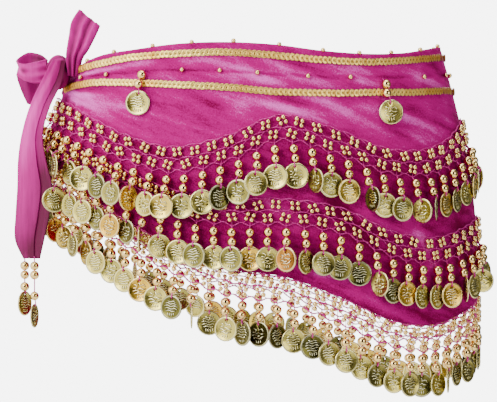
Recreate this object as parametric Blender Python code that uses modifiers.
"""Belly dance hip scarf in its worn form: a velvet wrap tied at one hip, hung with net, beads and coins.

The scarf runs round the hips as a hollow ring, open above and below. Angles are in degrees round
that ring: 0 is the knot, on the wearer's right hip at -X, 90 the front at -Y, 180 the deep point of
the hem at +X, and 270 the back. Heights are below the waist edge at z = 0. Sizes are in millimetres
and become metres where a mesh is made. The back half mirrors the front half.
"""

import math
from collections import namedtuple

import bmesh
import bpy
from mathutils import Vector

MM = 0.001

# The hips that the cloth keeps the form of
HALF_WIDTH_WAIST = 148.0
HALF_WIDTH_HEM = 172.0
DEPTH_RATIO = 0.70
SWELL_HEIGHT = 170.0
CENTRE_WAIST = -4.0
CENTRE_SHIFT = 6.0

# The flare of the cloth below the knot, which grows evenly between two heights
FLARE_RISE = 9.0
FLARE_SPREAD = 24.0
FLARE_TOP = -27.0
FLARE_FULL = -66.0

# Cloth and trims
VELVET = 1.5
SATIN = 1.2
SEAM = 0.3
SIDE_SEAM = 0.5
FRINGE_SEAM = 0.7
LIFT = 0.8
STRIP_LIFT = 1.0
TRIM = 1.0
STRIP_WIDTH = 6.0
STRIP_THICK = 0.7
NET_HEIGHT = 21.5

# The rows of the open net, as heights below its top edge
NET_TOP = 0.8
NET_HEADER = 4.0
NET_MIDDLE_TOP = 10.0
NET_MIDDLE_BOTTOM = 13.0
FRINGE_STRIP = 2.5

# One drop: two beads and a coin
PENDANT_ROOT_WIDTH = 4.5
PENDANT_ROOT = 2.0
PENDANT_ABOVE = 8.0
BEAD = 6.6
NECK = 2.4
COIN_WIDTH = 19.5
COIN_FLAT = 9.0
COIN_THICK = 1.2
FIRST_BEAD = 5.0
BEAD_PITCH = 7.6
COIN_TOP = 17.6
COIN_BOTTOM = 37.0
BEAD_OUT = 5.8
COIN_OUT = 4.4
COIN_STAGGER = 2.6
COIN_RISE = 6.0
COIN_CLEAR = 0.4
RISE_FULL_TO = 73.0
RISE_ENDS_AT = 106.0

# How many columns and drops there are
PANEL_START = 4.0
PANEL_COLUMNS = 30
PANEL_ROWS = 4
STRIP_COLUMNS = 44
STRIP_UPPER_START = 21.0
STRIP_LOWER_START = 12.0
STRIP_END = 349.0
DROPS_UPPER = 64
DROPS_MIDDLE = 66
DROPS_HEM = 68
PENDANT_ANGLES = (54.3, 128.5, 231.5, 305.7)
TIE_ROWS = 2
STRAP_COLUMNS = 8
LOOP_COLUMNS = 20
UP_STEPS = 6
SHORT_STEPS = 6
TAIL_STEPS = 10

# Heights at which columns and drops are spaced evenly
PANEL_SPACED_AT = -90.0
STRIP_SPACED_AT = -30.0
FRINGE_SPACED_AT = -120.0
HEM_SPACED_AT = -190.0

# Heights of the seams and trims where the scarf passes each angle, front half
Station = namedtuple("Station", "angle top strip_upper strip_lower net_upper net_middle hem")
STATIONS = (
    Station(4, -27.0, -31.5, -37.0, -41.0, -66.5, -90.0),
    Station(20, -17.3, -21.0, -33.3, -46.5, -72.5, -102.0),
    Station(35, -9.5, -16.3, -31.3, -58.3, -85.2, -118.7),
    Station(50, -5.9, -12.1, -32.3, -72.8, -99.6, -138.0),
    Station(65, -2.2, -10.1, -34.2, -82.0, -114.9, -159.3),
    Station(80, -1.2, -9.3, -36.6, -73.9, -122.3, -176.8),
    Station(95, -3.2, -11.9, -40.2, -57.8, -122.6, -183.4),
    Station(110, -7.9, -15.2, -41.1, -67.9, -129.4, -199.5),
    Station(125, -9.7, -16.1, -40.1, -82.8, -147.7, -217.6),
    Station(140, -8.1, -14.0, -39.2, -83.5, -152.7, -221.9),
    Station(155, -4.1, -11.3, -37.3, -73.3, -146.0, -213.6),
    Station(170, -1.3, -9.5, -36.7, -61.3, -138.5, -204.0),
    Station(180, -0.8, -9.3, -36.7, -57.5, -136.0, -200.0),
)

# Soft folds of the velvet, which run down and round from the waist to the hem. They grow from a
# least share at the waist to their full rise part of the way down.
FOLD_REACH = 220.0
FOLD_LEAST = 0.15
FOLD_GROWTH = 1.4
Fold = namedtuple("Fold", "waist_angle hem_angle rise width")
FOLDS = (
    Fold(24, 62, 1.2, 7.0),
    Fold(96, 128, 1.0, 9.0),
    Fold(112, 166, 1.4, 8.0),
    Fold(228, 196, 1.3, 8.0),
    Fold(262, 238, 1.0, 9.0),
    Fold(334, 302, 1.2, 7.0),
)

# The knot, an ellipsoid just outside the front end of the velvet
KNOT_ANGLE = 13.0
KNOT_HEIGHT = -22.0
KNOT_OUT = 12.0
KNOT_HALF = (9.6, 14.0, 14.0)
# Smoothing shrinks the cube that the knot starts from, and this brings it back to size
KNOT_FILL = 1.28
KNOT_SMOOTHING = 2

# The strap of the back end, round to the knot
Strap = namedtuple("Strap", "angle top bottom")
STRAP = (
    Strap(-9, -27.5, -39.8),
    Strap(0, -23.0, -37.0),
    Strap(8, -16.0, -31.0),
)

# The bow's loop, in plan from the knot round its left end and back
LoopStation = namedtuple("LoopStation", "x y top bottom")
LOOP = (
    LoopStation(-171.8, -13.0, -11.5, -26.0),
    LoopStation(-178.0, -5.0, -7.0, -25.0),
    LoopStation(-189.0, -3.0, -5.0, -24.0),
    LoopStation(-196.5, -11.0, -9.5, -23.5),
    LoopStation(-197.3, -23.0, -13.5, -24.0),
    LoopStation(-190.5, -33.0, -15.5, -28.0),
    LoopStation(-181.0, -35.0, -14.0, -30.5),
    LoopStation(-172.4, -33.5, -12.0, -29.0),
)

LOOP_MIDDLE = Vector((-185.0, -19.0, -20.0))

# The end that stands up, the short end behind the loop and the long tail, by their two edges
Row = namedtuple("Row", "left_x left_y left_z right_x right_y right_z fold")
END_UP = (
    Row(-154.6, -41.8, -18.0, -148.5, -41.2, -19.0, 2.0),
    Row(-155.8, -39.8, -11.0, -143.5, -40.2, -12.0, 3.5),
    Row(-155.0, -35.5, -3.0, -139.0, -38.0, -4.5, 4.5),
    Row(-153.5, -31.0, 7.0, -135.0, -35.0, 3.5, 4.5),
    Row(-151.5, -28.0, 18.5, -132.0, -33.5, 10.0, 4.0),
    Row(-145.5, -26.0, 28.5, -129.8, -32.5, 15.5, 3.0),
)
END_SHORT = (
    Row(-197.5, -0.2, -17.0, -174.5, -0.7, -19.0, 1.5),
    Row(-198.5, 0.3, -24.0, -175.0, -0.2, -28.0, 2.0),
    Row(-195.0, 0.3, -35.0, -178.0, -0.2, -38.0, 1.5),
    Row(-190.0, 0.3, -46.0, -184.0, -0.2, -48.0, 0.5),
)
TAIL = (
    Row(-166.5, -41.6, -12.5, -156.8, -42.0, -13.0, 2.0),
    Row(-173.0, -42.0, -26.0, -159.5, -45.0, -30.0, 3.5),
    Row(-182.0, -39.0, -48.0, -168.8, -48.5, -50.0, 4.5),
    Row(-188.3, -33.0, -72.0, -174.5, -50.0, -72.0, 5.0),
    Row(-192.0, -30.0, -93.0, -171.5, -52.0, -93.0, 5.0),
    Row(-193.2, -29.0, -114.0, -166.5, -53.5, -114.0, 5.0),
    Row(-194.6, -29.0, -135.0, -168.8, -53.5, -135.0, 5.0),
    Row(-195.3, -30.0, -155.0, -173.0, -52.0, -155.0, 4.5),
    Row(-188.8, -36.0, -170.5, -176.7, -48.0, -170.5, 3.0),
)

# The fold of the tail and of the standing end, across the width and out towards the viewer
Crossing = namedtuple("Crossing", "across out")
TAIL_FOLD = (
    Crossing(1.00, 0.0),
    Crossing(0.70, 0.1),
    Crossing(0.35, 0.0),
    Crossing(0.06, 0.1),
    Crossing(0.00, 0.5),
    Crossing(0.08, 0.9),
    Crossing(0.34, 1.0),
    Crossing(0.62, 0.9),
)
END_FOLD = (
    Crossing(0.80, -0.3),
    Crossing(1.00, 0.0),
    Crossing(0.82, 0.6),
    Crossing(0.62, 0.2),
    Crossing(0.44, 0.9),
    Crossing(0.24, 0.4),
    Crossing(0.00, 0.6),
    Crossing(0.10, -0.2),
)
SHORT_FOLD = (
    Crossing(0.0, 0.0),
    Crossing(0.35, 0.9),
    Crossing(0.7, 0.2),
    Crossing(1.0, 0.8),
)

# More columns than crossings, to round the folds
EXTRA_COLUMNS = 3

# The two strings of beads under the tail, with where they hang and how long they are
TailString = namedtuple("TailString", "x y beads coin_top")
TAIL_STRINGS = (
    TailString(-189.3, -38.5, (3.4, 10.6, 20.0), 23.4),
    TailString(-181.0, -46.0, (3.4, 10.6, 27.3), 33.0),
)
TAIL_BAR = 1.6
TAIL_COIN_TURN = 55.0


def clear_scene():
    for obj in list(bpy.data.objects):
        bpy.data.objects.remove(obj)


def material(name, colour, roughness, metallic=0.0):
    found = bpy.data.materials.new(name)
    found.use_nodes = True
    shader = found.node_tree.nodes["Principled BSDF"]
    shader.inputs["Base Color"].default_value = (*colour, 1.0)
    shader.inputs["Roughness"].default_value = roughness
    shader.inputs["Metallic"].default_value = metallic
    return found


def curve_through(values, place):
    """Catmull-Rom value at a place counted in rows of the list."""
    last = len(values) - 1
    row = min(int(place), last - 1)
    t = place - row
    before = values[max(row - 1, 0)]
    first = values[row]
    second = values[row + 1]
    after = values[min(row + 2, last)]
    rise = (second - before) * 0.5
    fall = (after - first) * 0.5
    return (
        first * (2 * t**3 - 3 * t**2 + 1)
        + rise * (t**3 - 2 * t**2 + t)
        + second * (3 * t**2 - 2 * t**3)
        + fall * (t**3 - t**2)
    )


def seam_height(column, angle):
    """Height of one seam or trim of the scarf at this angle, back half mirrored."""
    half = 360.0 - angle if angle > 180.0 else angle
    angles = [station.angle for station in STATIONS]
    row = max(i for i, start in enumerate(angles[:-1]) if start <= half or i == 0)
    place = row + (half - angles[row]) / (angles[row + 1] - angles[row])
    return curve_through([getattr(station, column) for station in STATIONS], max(place, 0.0))


def fold_rise(angle, height):
    """How far the soft folds lift the velvet here."""
    down = min(1.0, max(0.0, -height / FOLD_REACH))
    total = 0.0
    for fold in FOLDS:
        ridge = fold.waist_angle + (fold.hem_angle - fold.waist_angle) * down
        total += fold.rise * math.exp(-(((angle - ridge) / fold.width) ** 2))
    return total * math.sin(math.pi * min(1.0, max(FOLD_LEAST, down * FOLD_GROWTH)) * 0.5)


def flare_rise(angle, height):
    """How far the cloth flares out here, below the knot."""
    from_knot = min(angle, 360.0 - angle) / FLARE_SPREAD
    down = (height - FLARE_TOP) / (FLARE_FULL - FLARE_TOP)
    return FLARE_RISE * min(1.0, max(0.0, down)) * math.exp(-(from_knot**2))


def swell(height):
    return math.sin(0.5 * math.pi * min(1.0, max(0.0, -height / SWELL_HEIGHT)))


def half_width(height):
    return HALF_WIDTH_WAIST + (HALF_WIDTH_HEM - HALF_WIDTH_WAIST) * swell(height)


def outward(angle):
    turn = math.radians(angle)
    return Vector((-math.cos(turn) * DEPTH_RATIO, -math.sin(turn), 0.0)).normalized()


def sideways(angle):
    """Unit vector along the scarf, towards larger angles."""
    out = outward(angle)
    return Vector((-out.y, out.x, 0.0))


def on_form(angle, height, out=0.0):
    """Point on the outer face of the velvet, moved out."""
    turn = math.radians(angle)
    half = half_width(height)
    centre = CENTRE_WAIST + CENTRE_SHIFT * swell(height)
    base = Vector((centre - half * math.cos(turn), -half * DEPTH_RATIO * math.sin(turn), height))
    around = angle % 360.0
    return base + outward(angle) * (out + fold_rise(around, height) + flare_rise(around, height))


def even_angles(start, end, count, height):
    """Angles that part the scarf into this many equal lengths at a height."""
    samples = 720
    angles = [start + (end - start) * i / samples for i in range(samples + 1)]
    lengths = [0.0]
    for first, second in zip(angles, angles[1:]):
        lengths.append(lengths[-1] + (on_form(second, height) - on_form(first, height)).length)
    found = []
    place = 0
    for i in range(count + 1):
        target = lengths[-1] * i / count
        while place < samples - 1 and lengths[place + 1] < target:
            place += 1
        part = (target - lengths[place]) / (lengths[place + 1] - lengths[place])
        found.append(angles[place] + (angles[place + 1] - angles[place]) * part)
    return found


def keep(name, mesh_data, look, collection):
    mesh = bpy.data.meshes.new(name)
    mesh_data.to_mesh(mesh)
    mesh_data.free()
    mesh.materials.append(look)
    obj = bpy.data.objects.new(name, mesh)
    collection.objects.link(obj)
    return obj


def grid(columns, rows, place, skipped=()):
    """A sheet of faces whose corner in column i and row j lies at place(i, j)."""
    mesh = bmesh.new()
    bmesh.ops.create_grid(mesh, x_segments=columns, y_segments=rows, size=1.0)
    cell = {}
    for face in mesh.faces:
        middle = face.calc_center_median()
        cell[face] = (int((middle.x + 1) * columns / 2), int((1 - middle.y) * rows / 2))
    gaps = [face for face in mesh.faces if cell[face] in skipped]
    bmesh.ops.delete(mesh, geom=gaps, context="FACES")
    for vert in mesh.verts:
        column = round((vert.co.x + 1) * columns / 2)
        row = round((1 - vert.co.y) * rows / 2)
        vert.co = place(column, row) * MM
    return mesh


def thicken(obj, wall, inward=True):
    """Gives an open sheet its thickness, behind its face or half to each side."""
    solidify = obj.modifiers.new("Wall", "SOLIDIFY")
    solidify.thickness = wall * MM
    solidify.offset = -1.0 if inward else 0.0
    solidify.use_even_offset = True
    solidify.use_rim = True
    return obj


def face_outwards(mesh, away_from):
    """Turns the faces of an open sheet so that they look away from a point, in millimetres."""
    mesh.normal_update()
    centre = away_from * MM
    looking = 0.0
    for face in mesh.faces:
        looking += (face.calc_center_median() - centre).dot(face.normal) * face.calc_area()
    if looking < 0:
        bmesh.ops.reverse_faces(mesh, faces=mesh.faces[:])


def turn_outwards(mesh):
    """Turns the faces of a closed shape to look out of it."""
    mesh.normal_update()
    bmesh.ops.recalc_face_normals(mesh, faces=mesh.faces[:])


def velvet_panel(name, start, end, look, collection):
    """One stretch of the velvet wrap, from its waist edge to its hem."""
    angles = even_angles(start, end, PANEL_COLUMNS, PANEL_SPACED_AT)

    def place(column, row):
        angle = angles[column]
        top = seam_height("top", angle)
        hem = seam_height("hem", angle)
        return on_form(angle, top + (hem - top) * row / PANEL_ROWS)

    mesh = grid(PANEL_COLUMNS, PANEL_ROWS, place)
    face_outwards(mesh, Vector((0.0, 0.0, PANEL_SPACED_AT)))
    return thicken(keep(name, mesh, look, collection), VELVET)


def sequin_strip(name, column_name, start, look, collection):
    """A band of sequins as one thin strip on the velvet."""
    angles = even_angles(start, STRIP_END, STRIP_COLUMNS, STRIP_SPACED_AT)

    def place(column, row):
        angle = angles[column]
        height = seam_height(column_name, angle) + STRIP_WIDTH * (0.5 - row)
        return on_form(angle, height, STRIP_LIFT + STRIP_THICK)

    mesh = grid(STRIP_COLUMNS, 1, place)
    face_outwards(mesh, Vector((0.0, 0.0, STRIP_SPACED_AT)))
    return thicken(keep(name, mesh, look, collection), STRIP_THICK)


def open_net(name, start, end, repeats, look, collection):
    """The net below the hem, cut through: gaps in brick order, with solid cells for bead groups."""
    columns = 2 * repeats
    angles = even_angles(start, end, columns, HEM_SPACED_AT)
    heights = (NET_TOP, NET_HEADER, NET_MIDDLE_TOP, NET_MIDDLE_BOTTOM, NET_HEIGHT)
    last_row = len(heights) - 2
    gaps = {(column, 1) for column in range(1, columns - 1, 2)}
    gaps |= {(column, last_row) for column in range(2, columns, 2)}

    def place(column, row):
        angle = angles[column]
        return on_form(angle, seam_height("hem", angle) - heights[row])

    mesh = grid(columns, last_row + 1, place, gaps)
    face_outwards(mesh, Vector((0.0, 0.0, HEM_SPACED_AT)))
    return thicken(keep(name, mesh, look, collection), TRIM)


def ring_corners(centre, across, through, width, thick):
    """Corner places of one ring of a drop, by the side that each corner is on."""
    return {
        (right, outer): centre + across * (right * width / 2) + through * (outer * thick / 2)
        for right in (-1, 1)
        for outer in (-1, 1)
    }


def drop_rings(angle, root, bead_out, coin_out):
    """Rings of one drop below a root height: two beads and a coin."""
    sizes = (
        (FIRST_BEAD, BEAD, BEAD, bead_out),
        (FIRST_BEAD + BEAD_PITCH / 2, NECK, NECK, bead_out),
        (FIRST_BEAD + BEAD_PITCH, BEAD, BEAD, bead_out),
        (COIN_TOP, COIN_FLAT, COIN_THICK, coin_out),
        ((COIN_TOP + COIN_BOTTOM) / 2, COIN_WIDTH, COIN_THICK, coin_out),
        (COIN_BOTTOM, COIN_FLAT, COIN_THICK, coin_out),
    )
    return [
        ring_corners(on_form(angle, root - below, out), sideways(angle), outward(angle), width, thick)
        for below, width, thick, out in sizes
    ]


def grow(mesh, starts):
    """Draws each start face out through its rings. A start is a face, its corners' sides and its rings."""
    for face, sides, rings in starts:
        end = face
        for ring in rings:
            end = bmesh.ops.extrude_discrete_faces(mesh, faces=[end])["faces"][0]
            for vert, side in zip(end.verts, sides):
                vert.co = ring[side] * MM


def slab(columns, place):
    """A closed slab of one row, through place(column, bottom, outer), and what each corner is."""
    mesh = bmesh.new()
    bmesh.ops.create_grid(mesh, x_segments=columns, y_segments=1, size=1.0)
    made = bmesh.ops.extrude_face_region(mesh, geom=mesh.faces[:], use_keep_orig=True)
    for vert in made["geom"]:
        if isinstance(vert, bmesh.types.BMVert):
            vert.co.z = 1.0
    corner = {}
    for vert in mesh.verts:
        corner[vert] = (round((vert.co.x + 1) * columns / 2), vert.co.y < 0, vert.co.z > 0.5)
    for vert, key in corner.items():
        vert.co = place(*key) * MM
    return mesh, corner


def lower_faces(mesh, corner):
    """The faces along the foot of a slab, each with its column and its corners' sides."""
    found = []
    for face in mesh.faces:
        keys = [corner[vert] for vert in face.verts]
        columns = {key[0] for key in keys}
        if all(key[1] for key in keys) and len(columns) == 2:
            first = min(columns)
            sides = [(1 if key[0] > first else -1, 1 if key[2] else -1) for key in keys]
            found.append((face, first, sides))
    return found


def fringe_band(name, drops, height, tall, outer, rings_at, look, collection):
    """A band with a drop under every column."""
    angles = even_angles(PANEL_START, 360.0 - PANEL_START, 2 * drops, FRINGE_SPACED_AT)
    edges = angles[0::2]
    middles = angles[1::2]

    def place(column, bottom, is_outer):
        angle = edges[column]
        below = tall if bottom else 0.0
        return on_form(angle, height(angle) - below, outer if is_outer else outer - TRIM)

    mesh, corner = slab(drops, place)
    starts = []
    for face, column, sides in lower_faces(mesh, corner):
        middle = middles[column]
        starts.append((face, sides, rings_at(middle, column, height(middle) - tall)))
    grow(mesh, starts)
    turn_outwards(mesh)
    return keep(name, mesh, look, collection)


def laid_rings(rise):
    """Rings for a trim that lies on the velvet: coins take turns nearer and further out."""

    def rings_at(angle, number, root):
        half = 360.0 - angle if angle > 180.0 else angle
        left = min(1.0, max(0.0, (RISE_ENDS_AT - half) / (RISE_ENDS_AT - RISE_FULL_TO)))
        out = COIN_OUT + COIN_STAGGER * (number % 2) + rise * left
        return drop_rings(angle, root, BEAD_OUT, out)

    return rings_at


def hanging_rings(angle, number, root):
    """Rings for the hem's fringe, which hangs below the cloth in line with it."""
    middle = -TRIM / 2
    return drop_rings(angle, root, middle, middle + COIN_STAGGER * (number % 2 - 0.5))


def pendant(name, angle, look, collection):
    """A pair of beads and a coin that hang over the lower sequin strip."""
    top = seam_height("strip_lower", angle) + STRIP_WIDTH / 2 + PENDANT_ABOVE

    def place(column, bottom, is_outer):
        height = top - PENDANT_ROOT if bottom else top
        centre = on_form(angle, height, LIFT + TRIM if is_outer else LIFT)
        return centre + sideways(angle) * (PENDANT_ROOT_WIDTH * (column - 0.5))

    mesh, corner = slab(1, place)
    starts = []
    for face, _, sides in lower_faces(mesh, corner):
        starts.append((face, sides, drop_rings(angle, top - PENDANT_ROOT, BEAD_OUT, BEAD_OUT)))
    grow(mesh, starts)
    turn_outwards(mesh)
    return keep(name, mesh, look, collection)


def tie_knot(look, collection):
    """The knot as a rounded body against the outside of the velvet."""
    mesh = bmesh.new()
    bmesh.ops.create_cube(mesh, size=2.0)
    out = outward(KNOT_ANGLE)
    along = sideways(KNOT_ANGLE)
    centre = on_form(KNOT_ANGLE, KNOT_HEIGHT, KNOT_OUT)
    for vert in mesh.verts:
        offset = out * vert.co.x * KNOT_HALF[0] + along * vert.co.y * KNOT_HALF[1]
        offset.z = vert.co.z * KNOT_HALF[2]
        vert.co = (centre + offset * KNOT_FILL) * MM
    turn_outwards(mesh)
    obj = keep("knot", mesh, look, collection)
    smooth = obj.modifiers.new("Round", "SUBSURF")
    smooth.levels = KNOT_SMOOTHING
    smooth.render_levels = KNOT_SMOOTHING
    return obj


def tie_strap(look, collection):
    """The back end's tie, on the outside of the velvet as far as the knot."""
    last = len(STRAP) - 1

    def place(column, row):
        where = column * last / STRAP_COLUMNS
        angle = curve_through([station.angle for station in STRAP], where)
        top = curve_through([station.top for station in STRAP], where)
        bottom = curve_through([station.bottom for station in STRAP], where)
        return on_form(angle, top + (bottom - top) * row / TIE_ROWS, LIFT + SATIN)

    mesh = grid(STRAP_COLUMNS, TIE_ROWS, place)
    face_outwards(mesh, Vector((0.0, 0.0, STRIP_SPACED_AT)))
    return thicken(keep("tie_strap", mesh, look, collection), SATIN)


def bow_loop(look, collection):
    """The loop of the half bow, from the knot out to the left and back."""
    last = len(LOOP) - 1

    def place(column, row):
        where = column * last / LOOP_COLUMNS
        x = curve_through([station.x for station in LOOP], where)
        y = curve_through([station.y for station in LOOP], where)
        top = curve_through([station.top for station in LOOP], where)
        bottom = curve_through([station.bottom for station in LOOP], where)
        return Vector((x, y, top + (bottom - top) * row / TIE_ROWS))

    mesh = grid(LOOP_COLUMNS, TIE_ROWS, place)
    face_outwards(mesh, LOOP_MIDDLE)
    return thicken(keep("bow_loop", mesh, look, collection), SATIN)


def folded_end(name, rows, fold, steps, look, collection):
    """A tie end as a folded sheet: rows run along it and the fold's crossings lie across it."""
    last_row = len(rows) - 1
    last_crossing = len(fold) - 1
    columns = last_crossing + EXTRA_COLUMNS

    def at_row(column_name, where):
        return curve_through([getattr(row, column_name) for row in rows], where)

    def place(column, row):
        where = row * last_row / steps
        left = Vector([at_row(name, where) for name in ("left_x", "left_y", "left_z")])
        right = Vector([at_row(name, where) for name in ("right_x", "right_y", "right_z")])
        share = column * last_crossing / columns
        across = curve_through([crossing.across for crossing in fold], share)
        out = curve_through([crossing.out for crossing in fold], share)
        width = right - left
        towards = Vector((width.y, -width.x, 0.0)).normalized()
        return left + width * across + towards * (out * at_row("fold", where))

    mesh = grid(columns, steps, place)
    return thicken(keep(name, mesh, look, collection), SATIN, inward=False)


def tail_strings(look, collection):
    """Two strings of three beads and a coin, from one bar under the end of the tail."""
    first, second = TAIL_STRINGS
    along = Vector((second.x - first.x, second.y - first.y, 0.0))
    reach = along.length
    along.normalize()
    out = Vector((along.y, -along.x, 0.0))
    top = TAIL[-1].left_z - SEAM
    shares = (-NECK / 2, NECK / 2, reach - NECK / 2, reach + NECK / 2)

    def place(column, bottom, is_outer):
        base = Vector((first.x, first.y, top - (TAIL_BAR if bottom else 0.0)))
        return base + along * shares[column] + out * (TRIM if is_outer else -TRIM)

    mesh, corner = slab(len(shares) - 1, place)
    string_under = {0: first, 2: second}
    starts = []
    for face, column, sides in lower_faces(mesh, corner):
        if column in string_under:
            rings = string_rings(string_under[column], top - TAIL_BAR, along, out)
            starts.append((face, sides, rings))
    grow(mesh, starts)
    turn_outwards(mesh)
    return keep("tail_strings", mesh, look, collection)


def string_rings(string, root, along, out):
    """Rings of one string below its root: its beads, then its coin, turned partly edge on."""
    turn = math.radians(TAIL_COIN_TURN)
    across = along * math.cos(turn) + out * math.sin(turn)
    through = out * math.cos(turn) - along * math.sin(turn)
    sizes = []
    for number, below in enumerate(string.beads):
        if number:
            sizes.append(((below + string.beads[number - 1]) / 2, NECK, NECK, along, out))
        sizes.append((below, BEAD, BEAD, along, out))
    middle = string.coin_top + (COIN_BOTTOM - COIN_TOP) / 2
    bottom = string.coin_top + COIN_BOTTOM - COIN_TOP
    sizes.append((string.coin_top, COIN_FLAT, COIN_THICK, across, through))
    sizes.append((middle, COIN_WIDTH, COIN_THICK, across, through))
    sizes.append((bottom, COIN_FLAT, COIN_THICK, across, through))
    return [
        ring_corners(Vector((string.x, string.y, root - below)), wide, deep, width, thick)
        for below, width, thick, wide, deep in sizes
    ]


def build():
    clear_scene()
    collection = bpy.data.collections.new("hip_scarf")
    bpy.context.scene.collection.children.link(collection)
    velvet = material("magenta_velvet", (0.55, 0.028, 0.24), 0.75)
    satin = material("pink_satin", (0.72, 0.09, 0.38), 0.4)
    crochet = material("crochet_thread", (0.48, 0.03, 0.2), 0.8)
    sequins = material("gold_sequins", (0.76, 0.46, 0.11), 0.3, 1.0)
    gold = material("pale_gold", (0.7, 0.55, 0.32), 0.22, 1.0)

    half_gap = math.degrees(SIDE_SEAM / 2 / (HALF_WIDTH_WAIST * DEPTH_RATIO))
    velvet_panel("velvet_front", PANEL_START, 180.0 - half_gap, velvet, collection)
    velvet_panel("velvet_back", 180.0 + half_gap, 360.0 - PANEL_START, velvet, collection)
    sequin_strip("sequin_strip_upper", "strip_upper", STRIP_UPPER_START, sequins, collection)
    sequin_strip("sequin_strip_lower", "strip_lower", STRIP_LOWER_START, sequins, collection)

    fringe_band(
        "net_fringe_upper",
        DROPS_UPPER,
        lambda angle: seam_height("net_upper", angle),
        NET_HEIGHT,
        LIFT + TRIM,
        laid_rings(COIN_RISE),
        gold,
        collection,
    )
    fringe_band(
        "net_fringe_middle",
        DROPS_MIDDLE,
        lambda angle: seam_height("net_middle", angle),
        NET_HEIGHT,
        LIFT + TRIM,
        laid_rings(COIN_CLEAR),
        gold,
        collection,
    )
    net_repeats = DROPS_HEM // 2
    open_net("net_hem_front", PANEL_START, 180.0 - half_gap, net_repeats, crochet, collection)
    open_net("net_hem_back", 180.0 + half_gap, 360.0 - PANEL_START, net_repeats, crochet, collection)
    fringe_band(
        "coin_fringe_hem",
        DROPS_HEM,
        lambda angle: seam_height("hem", angle) - NET_HEIGHT - FRINGE_SEAM,
        FRINGE_STRIP,
        0.0,
        hanging_rings,
        gold,
        collection,
    )
    for number, angle in enumerate(PENDANT_ANGLES):
        pendant(f"coin_pendant_{number + 1}", angle, gold, collection)

    tie_knot(satin, collection)
    tie_strap(satin, collection)
    bow_loop(satin, collection)
    folded_end("tie_end_up", END_UP, END_FOLD, UP_STEPS, satin, collection)
    folded_end("tie_end_short", END_SHORT, SHORT_FOLD, SHORT_STEPS, satin, collection)
    folded_end("tie_tail", TAIL, TAIL_FOLD, TAIL_STEPS, satin, collection)
    tail_strings(gold, collection)


build()
